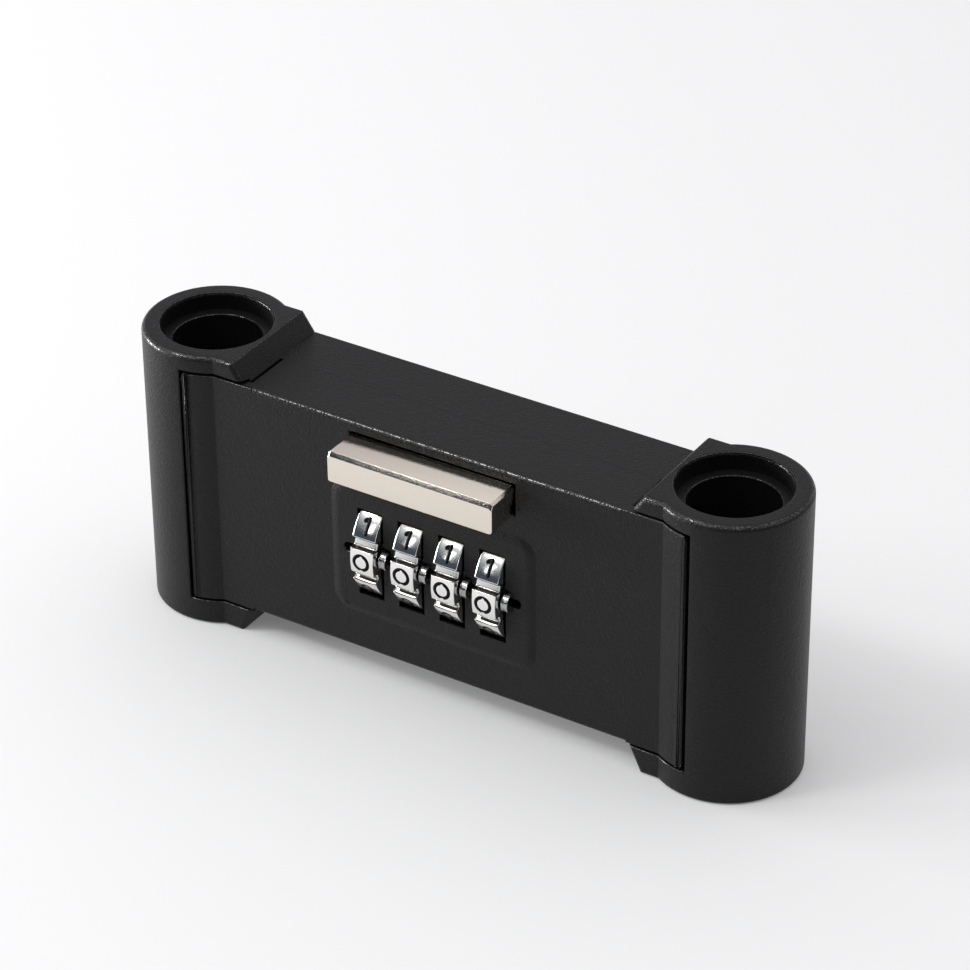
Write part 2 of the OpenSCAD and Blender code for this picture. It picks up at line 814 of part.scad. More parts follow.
// Pan-head screw along Y, its head towards +Y
module pan_screw(head_y, length) {
    rod_y(head_y - length, head_y, small_r);
    difference() {
        rod_y(head_y, head_y + head_h, small_head_r);
        rod_y(head_y + head_web, head_y + head_h + eps, small_r * 0.7);
    }
}

module frame_screws() {
    color(steel) placed() both_sides()
        for (s = [-1, 1]) translate([frame_screw_x, 0, dial_z + s * frame_screw_rise])
            pan_screw(frame_t - frame_front, frame_t + frame_boss + thread_end);
}

module index_comb() {
    back = comb_t - comb_front;
    color(chrome) placed() difference() {
        union() {
            span([wheel_x(0) + gap_x, -comb_front, comb_bottom],
                 [wheel_x(wheel_count - 1) + gap_x + tongue_w, back, comb_top]);
            for (i = [0:wheel_count - 1]) translate([wheel_x(i) + gap_x, 0, 0]) {
                span([0, -comb_front, comb_bottom], [tongue_w, back, dial_z + index_r]);
                span([0, -panel_y, dial_z - index_r], [tongue_w, back, dial_z + index_r]);
                translate([0, -panel_y, dial_z]) rod_x(0, tongue_w, index_r);
            }
        }
        for (s = [-1, 1]) translate([s * comb_screw_x, 0, comb_screw_z])
            rod_y(-big, big, small_r + press_gap);
    }
}

module comb_screws() {
    color(steel) placed()
        for (s = [-1, 1]) translate([s * comb_screw_x, 0, comb_screw_z])
            pan_screw(comb_t - comb_front, comb_t + comb_gap + thread_end);
}

module detent_spring() {
    finger_w = wheel_w * 0.6;
    color(spring_steel) placed() difference() {
        union() {
            span([wheel_x(0) - wheel_w, leaf_y, lip_bottom],
                 [wheel_x(wheel_count - 1) + wheel_w, leaf_y + leaf_t, frame_z + frame_t + leaf_edge]);
            for (i = [0:wheel_count - 1]) translate([wheel_x(i), 0, 0]) {
                span([-finger_w / 2, leaf_y, frame_z], [finger_w / 2, leaf_y + leaf_t, detent_z]);
                translate([0, detent_y, detent_z]) rod_x(-finger_w / 2, finger_w / 2, detent_bump_r);
            }
        }
        both_sides() translate([leaf_rivet_x, 0, leaf_rivet_z]) rod_y(0, big, small_r + press_gap);
    }
}

module detent_rivets() {
    color(steel) placed() both_sides() translate([leaf_rivet_x, 0, leaf_rivet_z]) {
        rod_y(frame_back + comb_gap, leaf_y + leaf_t, small_r);
        rod_y(leaf_y + leaf_t, leaf_y + leaf_t + rivet_head_h, small_head_r);
    }
}

rear_housing();
front_cover();
cover_screws();
release_bar();
bar_carrier();
bar_screws();
fence_plate();
fence_rivets();
bar_spring_left();
bar_spring_right();
locking_bolt_left();
locking_bolt_right();
bolt_spring_left();
bolt_spring_right();
wheel_frame();
frame_screws();
spindle();
spindle_spacer();
spindle_clips();
number_wheel_1();
number_wheel_2();
number_wheel_3();
number_wheel_4();
wheel_hub_1();
wheel_hub_2();
wheel_hub_3();
wheel_hub_4();
index_comb();
comb_screws();
detent_spring();
detent_rivets();
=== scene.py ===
import math

import bmesh
import bpy
import mathutils.kdtree
import numpy as np
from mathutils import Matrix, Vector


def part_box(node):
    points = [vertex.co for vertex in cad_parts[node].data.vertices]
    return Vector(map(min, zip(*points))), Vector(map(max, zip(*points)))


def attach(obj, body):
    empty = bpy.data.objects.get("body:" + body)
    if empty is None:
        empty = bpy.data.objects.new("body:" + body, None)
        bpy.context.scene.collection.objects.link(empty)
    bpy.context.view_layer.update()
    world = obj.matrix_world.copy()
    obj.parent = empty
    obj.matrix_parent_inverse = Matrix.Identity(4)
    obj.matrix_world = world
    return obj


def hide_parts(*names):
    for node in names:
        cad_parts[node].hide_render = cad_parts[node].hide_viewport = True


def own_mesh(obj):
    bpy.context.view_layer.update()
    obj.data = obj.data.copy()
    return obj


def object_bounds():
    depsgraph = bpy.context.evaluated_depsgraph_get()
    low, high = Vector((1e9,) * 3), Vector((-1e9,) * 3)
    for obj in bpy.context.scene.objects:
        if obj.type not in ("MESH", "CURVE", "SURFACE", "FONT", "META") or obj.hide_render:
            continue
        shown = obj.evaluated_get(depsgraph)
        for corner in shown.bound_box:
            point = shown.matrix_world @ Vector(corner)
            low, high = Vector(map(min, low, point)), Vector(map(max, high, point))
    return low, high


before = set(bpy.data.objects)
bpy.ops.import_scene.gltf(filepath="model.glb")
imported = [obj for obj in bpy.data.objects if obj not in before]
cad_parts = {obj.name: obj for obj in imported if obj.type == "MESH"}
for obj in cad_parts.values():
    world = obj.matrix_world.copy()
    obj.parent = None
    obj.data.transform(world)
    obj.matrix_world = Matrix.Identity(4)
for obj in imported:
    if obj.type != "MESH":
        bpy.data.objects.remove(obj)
cad_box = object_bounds()


# ---- Camera ----
# A long lens, about three quarters of a metre away, stands to the right of the dial and above it. It is
# held almost level.

low, high = (np.array(corner) for corner in cad_box)
aim = (low + high) / 2 + np.array([0.00261, 0.00505, 0.01161])
camera_azimuth = math.radians(32.374)
camera_elevation = math.radians(32.121)
camera_roll = math.radians(-0.494)
camera_distance = 0.7645
camera_lens = 146.58


def camera_matrix():
    """Columns right, up and back of a camera at that azimuth and elevation, turned about its own view by
    the roll."""
    a, e, r = camera_azimuth, camera_elevation, camera_roll
    back = np.array([math.sin(a) * math.cos(e), -math.cos(a) * math.cos(e), math.sin(e)])
    right = np.array([math.cos(a), math.sin(a), 0.0])
    up = np.cross(back, right)
    matrix = np.eye(4)
    matrix[:3, 0] = math.cos(r) * right + math.sin(r) * up
    matrix[:3, 1] = math.cos(r) * up - math.sin(r) * right
    matrix[:3, 2] = back
    matrix[:3, 3] = aim + camera_distance * back
    return matrix


camera_data = bpy.data.cameras.new("camera")
camera_data.lens = camera_lens
camera = bpy.data.objects.new("camera", camera_data)
camera.matrix_world = camera_matrix().T.tolist()
bpy.context.scene.collection.objects.link(camera)
bpy.context.scene.camera = camera


# ---- Floor and light ----
# The lock stands on a sheet of white board. A large softbox hangs above it and a small bright one beside
# that, both towards the front left. A narrow strip stands in front and another softbox beside the left
# end, and a room that is dark in front and pale behind and above fills in the rest.

board_reach = 6.0
board_gap = 0.00005
board_white = (0.86, 0.86, 0.865, 1)
board_fibre_white = (0.8514, 0.8514, 0.85635, 1)
board_fibre = 900
board_roughness = 0.7
board_gloss = 0.2
board_glow = 0.14
room_front = (0.05, 0.065, 0.085, 1)
room_back = (0.6, 0.565, 0.605, 1)
room_ceiling = (1.06, 1.06, 1.06, 1)
room_seen = (0.94, 0.94, 0.94, 1)
# How far back, and how far up, a direction points where the room starts and ends its change of tone
behind_reach = (-0.3, 0.5)
ceiling_reach = (0.3, 0.95)


def new_object(name, mesh):
    """Puts a mesh into the scene as an object at the origin."""
    thing = bpy.data.objects.new(name, mesh)
    bpy.context.scene.collection.objects.link(thing)
    return thing


def board_mesh():
    """Flat square around the origin, for the feet to stand on."""
    r = board_reach
    mesh = bpy.data.meshes.new("floor")
    mesh.from_pydata([(-r, -r, 0), (r, -r, 0), (r, r, 0), (-r, r, 0)], [], [(0, 1, 2, 3)])
    return mesh


def new_material(name):
    """A material with its Principled shader, its node tree's nodes and a function that links two sockets."""
    material = bpy.data.materials.new(name)
    material.use_nodes = True
    tree = material.node_tree
    return material, tree.nodes["Principled BSDF"], tree.nodes, tree.links.new


def feed(link, value, socket):
    """Links another node's output to a socket, or else gives it that number or colour."""
    if isinstance(value, bpy.types.NodeSocket):
        link(value, socket)
    else:
        socket.default_value = value


def worked_out(nodes, link, operation, *values):
    """Output of one step of arithmetic on numbers and other nodes' outputs."""
    step = nodes.new("ShaderNodeMath")
    step.operation = operation
    for value, socket in zip(values, step.inputs):
        feed(link, value, socket)
    return step.outputs["Value"]


def blended(nodes, link, mask, first, second):
    """Output that runs from the first colour or number to the second as the mask runs from 0 to 1."""
    mix = nodes.new("ShaderNodeMix")
    mix.data_type = "RGBA" if isinstance(second, tuple) else "FLOAT"
    feed(link, mask, mix.inputs["Factor"])
    feed(link, first, mix.inputs["A"])
    feed(link, second, mix.inputs["B"])
    return mix.outputs["Result"]


def ramped(nodes, link, value, start, end, top=1.0, shape="LINEAR"):
    """Output that is 0 on the start's side of a range of values and rises over the range to the top."""
    ramp = nodes.new("ShaderNodeMapRange")
    ramp.interpolation_type = shape
    ramp.inputs["From Min"].default_value = start
    ramp.inputs["From Max"].default_value = end
    ramp.inputs["To Max"].default_value = top
    link(value, ramp.inputs["Value"])
    return ramp.outputs["Result"]


def noise(nodes, link, place, scale, detail):
    """Output of a noise of that scale and detail over a place."""
    texture = nodes.new("ShaderNodeTexNoise")
    texture.inputs["Detail"].default_value = detail
    feed(link, scale, texture.inputs["Scale"])
    link(place, texture.inputs["Vector"])
    return texture.outputs["Fac"]


def seen_by_eye(nodes, link):
    """1 for a ray from the camera, or one that metal or glass sends on, and 0 for light on other surfaces."""
    path = nodes.new("ShaderNodeLightPath")
    glossy, through = path.outputs["Is Glossy Ray"], path.outputs["Is Transmission Ray"]
    sent_on = worked_out(nodes, link, "MAXIMUM", glossy, through)
    return worked_out(nodes, link, "MAXIMUM", path.outputs["Is Camera Ray"], sent_on)


def board_material():
    """Matt white card with a faint fibre. What the eye, metal and glass see of it is lifted a little
    towards white."""
    material, shader, nodes, link = new_material("white_board")
    shader.inputs["Roughness"].default_value = board_roughness
    shader.inputs["Specular IOR Level"].default_value = board_gloss
    place = nodes.new("ShaderNodeTexCoord")
    fibre = noise(nodes, link, place.outputs["Object"], board_fibre, 3)
    link(blended(nodes, link, fibre, board_white, board_fibre_white), shader.inputs["Base Color"])
    glow = nodes.new("ShaderNodeEmission")
    glow.inputs["Color"].default_value = room_seen
    both = nodes.new("ShaderNodeMixShader")
    link(worked_out(nodes, link, "MULTIPLY", seen_by_eye(nodes, link), board_glow), both.inputs["Fac"])
    link(shader.outputs["BSDF"], both.inputs[1])
    link(glow.outputs["Emission"], both.inputs[2])
    link(both.outputs["Shader"], nodes["Material Output"].inputs["Surface"])
    return material


floor = new_object("floor", board_mesh())
floor.location.z = low[2] - board_gap
floor.data.materials.append(board_material())


def softbox(name, direction, distance, width, height, power):
    """Puts an area lamp in that direction from the aim, facing it."""
    data = bpy.data.lights.new(name, "AREA")
    data.shape = "RECTANGLE"
    data.size = width
    data.size_y = height
    data.energy = power
    lamp = bpy.data.objects.new(name, data)
    back = np.array(direction) / np.linalg.norm(direction)
    right = np.cross([0, 0, 1], back)
    right /= np.linalg.norm(right)
    matrix = np.eye(4)
    matrix[:3, :3] = np.stack([right, np.cross(back, right), back], axis=1)
    matrix[:3, 3] = aim + distance * back
    lamp.matrix_world = matrix.T.tolist()
    bpy.context.scene.collection.objects.link(lamp)


softbox("softbox_above", (-0.328, -0.377, 0.866), distance=2.0, width=1.23, height=1.08, power=3.3)
softbox("softbox_core", (-0.443, -0.492, 0.749), distance=2.0, width=0.4, height=0.32, power=7.4)
softbox("strip_front", (-0.42, -0.777, 0.47), distance=1.2, width=0.05, height=0.34, power=0.25)
softbox("softbox_left", (-0.92, -0.3, 0.1), distance=0.9, width=0.5, height=0.24, power=8.6)


def room_light():
    """Dim in front, bright behind and above, by smooth steps over the direction."""
    world = bpy.data.worlds.new("room")
    world.use_nodes = True
    nodes, link = world.node_tree.nodes, world.node_tree.links.new
    way = nodes.new("ShaderNodeTexCoord")
    split = nodes.new("ShaderNodeSeparateXYZ")
    link(way.outputs["Generated"], split.inputs["Vector"])
    behind = ramped(nodes, link, split.outputs["Y"], *behind_reach, shape="SMOOTHSTEP")
    above = ramped(nodes, link, split.outputs["Z"], *ceiling_reach, shape="SMOOTHSTEP")
    walls = blended(nodes, link, behind, room_front, room_back)
    link(blended(nodes, link, above, walls, room_ceiling), nodes["Background"].inputs["Color"])
    return world


bpy.context.scene.world = room_light()
bpy.context.scene.view_settings.view_transform = "Standard"


# ---- Castings ----
# The rear housing and the front cover are die-cast zinc, powder-coated in satin black.
# The cover drops into the housing's front and is held by four screws from behind.

coat_black = (0.0052, 0.005, 0.0053, 1)
# Painted glint: the paler colour of the grain's peaks, standing in for the coat's speckled highlights
coat_peak_glint = (0.012, 0.0115, 0.012, 1)
coat_gloss = 0.22
coat_roughness = 0.42
coat_peak_roughness = 0.32
coat_grain = 2600
coat_depth = 0.00014
# Scale and height of the broad grain, as shares of the fine one's
broad_grain = 0.36
broad_share = 0.35
# Where the fine grain counts as a peak, from not at all to fully
grain_peaks = (0.6, 0.72)
# The clear shine on upper rims: its strength, index and blur, the scale of its specks, and the noise where
# a speck starts and where it is full
edge_gloss = 0.65
edge_index = 1.8
edge_roughness = 0.13
edge_grain = 3400
edge_specks = (0.47, 0.56)
# Upward share of a surface's normal, and in the last pair its sideways share, where a rim is absent and
# where it is full
rim_above_upright = (0.25, 0.5)
rim_below_level = (0.97, 0.85)
rim_off_ramps = (0.8, 0.76)
# Rounding of the castings' edges, and how many times wider it is on folds below this turn in degrees
casting_edge = 0.0003
shallow_widening = 2.2
shallow_turn = 25
# Points this close are one, faces that turn by fewer degrees are flat, a knot reaches this many roundings,
# and an edge this close to the parting plane lies on it
merge_reach = 1e-6
flat_turn = 0.2
knot_reach = 3
parting_reach = 0.00012


def grain_group():
    """Fine orange peel of a baked coat: two sizes of noise added as height, and their peaks as a mask."""
    group = bpy.data.node_groups.new("coat_grain", "ShaderNodeTree")
    group.interface.new_socket("Vector", in_out="INPUT", socket_type="NodeSocketVector")
    group.interface.new_socket("Scale", in_out="INPUT", socket_type="NodeSocketFloat")
    group.interface.new_socket("Height", in_out="OUTPUT", socket_type="NodeSocketFloat")
    group.interface.new_socket("Peaks", in_out="OUTPUT", socket_type="NodeSocketFloat")
    nodes, link = group.nodes, group.links.new
    given = nodes.new("NodeGroupInput")
    result = nodes.new("NodeGroupOutput")
    place, scale = given.outputs["Vector"], given.outputs["Scale"]
    fine = noise(nodes, link, place, scale, 2)
    broad = noise(nodes, link, place, worked_out(nodes, link, "MULTIPLY", scale, broad_grain), 1)
    link(worked_out(nodes, link, "MULTIPLY_ADD", broad, broad_share, fine), result.inputs["Height"])
    link(ramped(nodes, link, fine, *grain_peaks), result.inputs["Peaks"])
    return group


def rim_group():
    """1 where a surface leans about 45 degrees up, as on the roundings of upper edges. It is 0 where the
    surface is level or upright, and on the flat ramps down to the feet, which lean left or right."""
    group = bpy.data.node_groups.new("upper_rims", "ShaderNodeTree")
    group.interface.new_socket("Mask", in_out="OUTPUT", socket_type="NodeSocketFloat")
    nodes, link = group.nodes, group.links.new
    result = nodes.new("NodeGroupOutput")
    shape = nodes.new("ShaderNodeNewGeometry")
    split = nodes.new("ShaderNodeSeparateXYZ")
    link(shape.outputs["Normal"], split.inputs["Vector"])
    raised = ramped(nodes, link, split.outputs["Z"], *rim_above_upright, shape="SMOOTHSTEP")
    lowered = ramped(nodes, link, split.outputs["Z"], *rim_below_level, shape="SMOOTHSTEP")
    lean = worked_out(nodes, link, "ABSOLUTE", split.outputs["X"])
    unramped = ramped(nodes, link, lean, *rim_off_ramps)
    leaning = worked_out(nodes, link, "MULTIPLY", raised, lowered)
    link(worked_out(nodes, link, "MULTIPLY", leaning, unramped), result.inputs["Mask"])
    return group


coat_grain_group = grain_group()
upper_rims = rim_group()


def grained(parts, scale, depth):
    """Adds the grain group, on Object coordinates, to a material's bump, and returns its node."""
    _, shader, nodes, link = parts
    place = nodes.new("ShaderNodeTexCoord")
    grain = nodes.new("ShaderNodeGroup")
    grain.node_tree = coat_grain_group
    grain.inputs["Scale"].default_value = scale
    bump = nodes.new("ShaderNodeBump")
    bump.inputs["Distance"].default_value = depth
    link(place.outputs["Object"], grain.inputs["Vector"])
    link(grain.outputs["Height"], bump.inputs["Height"])
    link(bump.outputs["Normal"], shader.inputs["Normal"])
    return grain


def two_tone(parts, mask, first, second, socket="Base Color"):
    """Mixes two colours or numbers by a mask into one of the shader's sockets."""
    _, shader, nodes, link = parts
    link(blended(nodes, link, mask, first, second), shader.inputs[socket])


def powder_coat():
    """Satin black coat with a fine peel, whose peaks are smoother and painted a little paler, a painted
    glint for the coat's speckled highlights. On the roundings of upper edges the grains shine one by one."""
    parts = new_material("powder_coat")
    material, shader, nodes, link = parts
    shader.inputs["Specular IOR Level"].default_value = coat_gloss
    shader.inputs["Coat Roughness"].default_value = edge_roughness
    shader.inputs["Coat IOR"].default_value = edge_index
    grain = grained(parts, coat_grain, coat_depth)
    two_tone(parts, grain.outputs["Peaks"], coat_black, coat_peak_glint)
    two_tone(parts, grain.outputs["Peaks"], coat_roughness, coat_peak_roughness, "Roughness")
    place = nodes.new("ShaderNodeTexCoord")
    rim = nodes.new("ShaderNodeGroup")
    rim.node_tree = upper_rims
    specks = noise(nodes, link, place.outputs["Object"], edge_grain, 1)
    shine = ramped(nodes, link, specks, *edge_specks, top=edge_gloss)
    link(worked_out(nodes, link, "MULTIPLY", shine, rim.outputs["Mask"]), shader.inputs["Coat Weight"])
    return material


coat = powder_coat()


def rounded_copy(node, name, edge, parting=None, sharp_turn=25):
    """A copy of a CAD node: triangles merged into flat faces, and its outward edges rounded by arcs, more
    where two faces meet at a low angle. An edge stays sharp on the parting plane at that y, and near a
    knot: where a sharp edge ends or turns from outward to inward, and where several meet beside a very
    short one."""
    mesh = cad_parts[node].data.copy()
    mesh.name = name
    work = bmesh.new()
    work.from_mesh(mesh)
    weight = work.edges.layers.float.new("bevel_weight_edge")
    bmesh.ops.remove_doubles(work, verts=work.verts, dist=merge_reach)
    bmesh.ops.dissolve_limit(work, angle_limit=math.radians(flat_turn), verts=work.verts, edges=work.edges)
    for face in work.faces:
        face.smooth = True
    sharp = {e for e in work.edges if e.is_manifold and e.calc_face_angle(0) > math.radians(sharp_turn)}
    knots = []
    for vertex in work.verts:
        meeting = [e for e in vertex.link_edges if e in sharp]
        short = min(e.calc_length() for e in vertex.link_edges) < knot_reach * edge
        crossed = len(meeting) == 2 and meeting[0].is_convex != meeting[1].is_convex
        if len(meeting) == 1 or crossed or (len(meeting) > 2 and short):
            knots.append(vertex.co.copy())
    tree = mathutils.kdtree.KDTree(len(knots))
    for index, knot in enumerate(knots):
        tree.insert(knot, index)
    tree.balance()
    for fold in sharp:
        near = any(knots and tree.find(v.co)[2] < knot_reach * edge for v in fold.verts)
        parted = parting is not None and all(abs(v.co.y - parting) < parting_reach for v in fold.verts)
        rounding = shallow_widening if fold.calc_face_angle(0) < math.radians(shallow_turn) else 1.0
        fold[weight] = rounding / shallow_widening if fold.is_convex and not near and not parted else 0.0
        fold.smooth = False
    work.to_mesh(mesh)
    work.free()
    if "custom_normal" in mesh.attributes:
        mesh.attributes.remove(mesh.attributes["custom_normal"])
    piece = new_object(name, mesh)
    bevel = piece.modifiers.new("rounding", "BEVEL")
    bevel.width = edge * shallow_widening
    bevel.segments = 3
    bevel.limit_method = "WEIGHT"
    bevel.use_clamp_overlap = False
    bevel.harden_normals = True
    return piece


def finish_piece(piece, material, nodes, body):
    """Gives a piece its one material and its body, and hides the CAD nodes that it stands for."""
    piece.data.materials.clear()
    piece.data.materials.append(material)
    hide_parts(*nodes)
    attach(piece, body)


# The slopes around the cover's dial panel turn by 22 degrees, and their folds are to be rounded too
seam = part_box("front_cover")[1][1]
for node, sharp_turn in (("rear_housing", 25), ("front_cover", 15)):
    casting = rounded_copy(node, node + "_coated", casting_edge, seam, sharp_turn)
    finish_piece(casting, coat, [node], "housing")


# ---- Release bar ----
# A bar of nickel-plated zinc with a satin finish. A narrow slope runs along its upper front edge.
# Two screws hold it to the carrier behind the cover.

nickel_warm = (0.76, 0.7, 0.61, 1)
nickel_shade = (0.7, 0.645, 0.56, 1)
nickel_roughness = (0.03, 0.08)
nickel_grain = 3600
nickel_depth = 0.000016
slope_relief = 1.2
bar_slope_depth = 0.0005
bar_slope_height = 0.00095
# Radii of the bar's end corners, of its front at both ends, and of its long lower, rear and slope edges
bar_corner = 0.0007
bar_end_round = 0.00035
bar_underside_round = 0.0003
bar_rear_round = 0.0001
bar_slope_round = 0.00012


def satin_nickel():
    """Warm satin plating: a fine grain in its colour, gloss and relief, with more than twice the relief on
    the slope at its upper edge."""
    parts = new_material("satin_nickel")
    material, shader, nodes, link = parts
    shader.inputs["Metallic"].default_value = 1
    grain = grained(parts, nickel_grain, nickel_depth)
    two_tone(parts, grain.outputs["Peaks"], nickel_warm, nickel_shade)
    two_tone(parts, grain.outputs["Height"], *nickel_roughness, "Roughness")
    slope = nodes.new("ShaderNodeGroup")
    slope.node_tree = upper_rims
    stronger = worked_out(nodes, link, "MULTIPLY_ADD", slope.outputs["Mask"], slope_relief, 1.0)
    relief = worked_out(nodes, link, "MULTIPLY", stronger, grain.outputs["Height"])
    link(relief, nodes["Bump"].inputs["Height"])
    return material


def rounded_section(corners, radii, steps=6):
    """Closed outline through convex corners, each replaced by an arc of its radius, tangent to both sides."""
    corners = np.array(corners, float)
    before = np.roll(corners, 1, axis=0) - corners
    after = np.roll(corners, -1, axis=0) - corners
    before /= np.linalg.norm(before, axis=1)[:, None]
    after /= np.linalg.norm(after, axis=1)[:, None]
    half_angle = np.arccos(np.clip((before * after).sum(axis=1), -1, 1)) / 2
    middle = before + after
    middle /= np.linalg.norm(middle, axis=1)[:, None]
    radii = np.array(radii, float)[:, None]
    centres = corners + middle * radii / np.sin(half_angle)[:, None]
    share = np.linspace(-1, 1, steps)[None, :] * (math.pi / 2 - half_angle)[:, None]
    across = np.stack([-middle[:, 1], middle[:, 0]], axis=1)
    across *= np.sign((across * after).sum(axis=1))[:, None]
    arcs = -middle[:, None, :] * np.cos(share)[..., None] + across[:, None, :] * np.sin(share)[..., None]
    return (centres[:, None, :] + radii[:, None, :] * arcs).reshape(-1, 2)


def capped_tube(name, points):
    """Mesh of quads between closed rings of points, with one face over each end."""
    rows, columns = points.shape[:2]
    index = np.arange(rows * columns).reshape(rows, columns)
    right = np.roll(index, -1, axis=1)
    quads = np.stack([index[:-1], index[1:], right[1:], right[:-1]], axis=-1).reshape(-1, 4).tolist()
    mesh = bpy.data.meshes.new(name)
    mesh.from_pydata(points.reshape(-1, 3), [], quads + [index[0].tolist(), index[-1][::-1].tolist()])
    mesh.shade_smooth()
    return mesh


def bar_mesh(corner_low, corner_high):
    """The section across the bar, carried along it. Towards an end the section shrinks: its bottom by the
    arc of the lower corner, its front by a small arc, and its top by a 45 degree chamfer."""
    turn = np.linspace(0, math.pi / 2, 8)
    run = bar_corner * (1 - np.cos(turn))
    low_cut = bar_corner * (1 - np.sin(turn))
    top_cut = np.maximum(bar_corner - run - bar_slope_round, 0)
    front_cut = bar_end_round - np.sqrt(bar_end_round**2 - np.maximum(bar_end_round - run, 0) ** 2)
    cuts = np.stack([low_cut, top_cut, front_cut], axis=1)
    places = np.concatenate([corner_low[0] + run, (corner_high[0] - run)[::-1]])
    rings = []
    for x, (low_by, top_by, front_by) in zip(places, np.concatenate([cuts, cuts[::-1]])):
        front, rear = corner_low[1] + front_by, corner_high[1]
        bottom, top = corner_low[2] + low_by, corner_high[2] - top_by
        slope_top, slope_foot = (front + bar_slope_depth, top), (front, top - bar_slope_height)
        outline = rounded_section(
            [(front, bottom), (rear, bottom), (rear, top), slope_top, slope_foot],
            [bar_underside_round, bar_rear_round, bar_rear_round, bar_slope_round, bar_slope_round],
        )
        rings.append(np.column_stack([np.full(len(outline), x), outline]))
    return capped_tube("release_bar_plated", np.stack(rings))


def creased(piece, angle=30):
    """Marks as sharp the edges that turn by more than the angle."""
    work = bmesh.new()
    work.from_mesh(piece.data)
    for edge in work.edges:
        edge.smooth = edge.calc_face_angle(0) < math.radians(angle)
    work.to_mesh(piece.data)
    work.free()


bar = new_object("release_bar_plated", bar_mesh(*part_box("release_bar")))
creased(bar)
finish_piece(bar, satin_nickel(), ["release_bar"], "release")


# ---- Number wheels ----
# Chromed zinc rings with ten facets, a little crowned by polishing, on hubs that turn on one spindle.
# The numbers are sunk into the facets and filled with black enamel.

chrome_tint = (0.83, 0.825, 0.81, 1)
chrome_roughness = (0.06, 0.14)
chrome_grain = 700
chrome_depth = 0.000006
# Painted shade: the colour that darkens the chrome in the wheel notches
notch_painted_shade = (0.18, 0.165, 0.15, 1)
# The painted shade in the notches fades in over this depth, and loses this share within a few such depths of
# the floor
notch_fade = 0.0001
notch_floor_share = 0.7
notch_floor_band = 3
number_count = 10
sector = 2 * math.pi / number_count
# The floor's distance from the axle and half its width, and how far the flanks lean outwards
notch_floor = 0.01115
notch_floor_half = 0.00069
flank_slope = 0.367
wheel_crown = 0.0001
wheel_rim = 0.0003
web_drop = 0.001
facet_round = 0.015
bore_radius = 0.00605
enamel_black = (0.003, 0.003, 0.004, 1)
enamel_grey = (0.008, 0.008, 0.009, 1)
enamel_gloss = 0.05
enamel_roughness = (0.25, 0.45)
enamel_grain = 2500
enamel_depth = 0.000004
# How far the enamel stands above the facet, how deep its edges go into it, and the share that is level
enamel_height = 0.000012
enamel_sunk = 0.00003
enamel_flat = 0.97


def chrome_plate():
    """Bright chrome with the slight waviness of a small cast piece, darkened in the notches by painted shade.
    """
    parts = new_material("chrome_plate")
    material, shader, nodes, link = parts
    shader.inputs["Metallic"].default_value = 1
    grain = grained(parts, chrome_grain, chrome_depth)
    # The "notch" attribute is the mask of the painted shade in the notches
    depth = nodes.new("ShaderNodeAttribute")
    depth.attribute_name = "notch"
    two_tone(parts, depth.outputs["Fac"], chrome_tint, notch_painted_shade)
    two_tone(parts, grain.outputs["Height"], *chrome_roughness, "Roughness")
    return material


# Also laid on the wheels' sides, where it is painted shade
def black_enamel():
    """Black fill without much gloss, with a few paler specks."""
    parts = new_material("black_enamel")
    parts[1].inputs["Specular IOR Level"].default_value = enamel_gloss
    grain = grained(parts, enamel_grain, enamel_depth)
    two_tone(parts, grain.outputs["Peaks"], enamel_black, enamel_grey)
    two_tone(parts, grain.outputs["Height"], *enamel_roughness, "Roughness")
    return parts[0]


def wheel_outline(turn, radius):
    """Radius at an angle: the full radius on a facet, and in a notch the distance to its floor or flank."""
    off = np.abs((turn / sector) % 1 - 0.5) * sector
    floor_line = notch_floor / np.cos(off)
    lean = flank_slope * np.cos(off) - np.sin(off)
    flank = (flank_slope * notch_floor - notch_floor_half) / np.maximum(lean, 1e-6)
    return np.minimum(radius, np.maximum(floor_line, flank))


def softened(turn, radius):
    """The outline averaged over a small arc, by weights that fall off like a cosine, which rounds its
    corners."""
    share = np.linspace(-1, 1, 9)
    weights = np.cos(share * math.pi / 2.2)
    rows = wheel_outline(turn[..., None] + share * facet_round, radius)
    return (rows * weights).sum(axis=-1) / weights.sum()


def closed_grid(name, points):
    """Mesh of quads over a grid of points that closes on itself both ways."""
    rows, columns = points.shape[:2]
    index = np.arange(rows * columns).reshape(rows, columns)
    right = np.roll(index, -1, axis=1)
    quads = np.stack([index, right, np.roll(right, -1, axis=0), np.roll(index, -1, axis=0)], axis=-1)
    mesh = bpy.data.meshes.new(name)
    mesh.from_pydata(points.reshape(-1, 3), [], quads.reshape(-1, 4).tolist())
    mesh.shade_smooth()
    return mesh


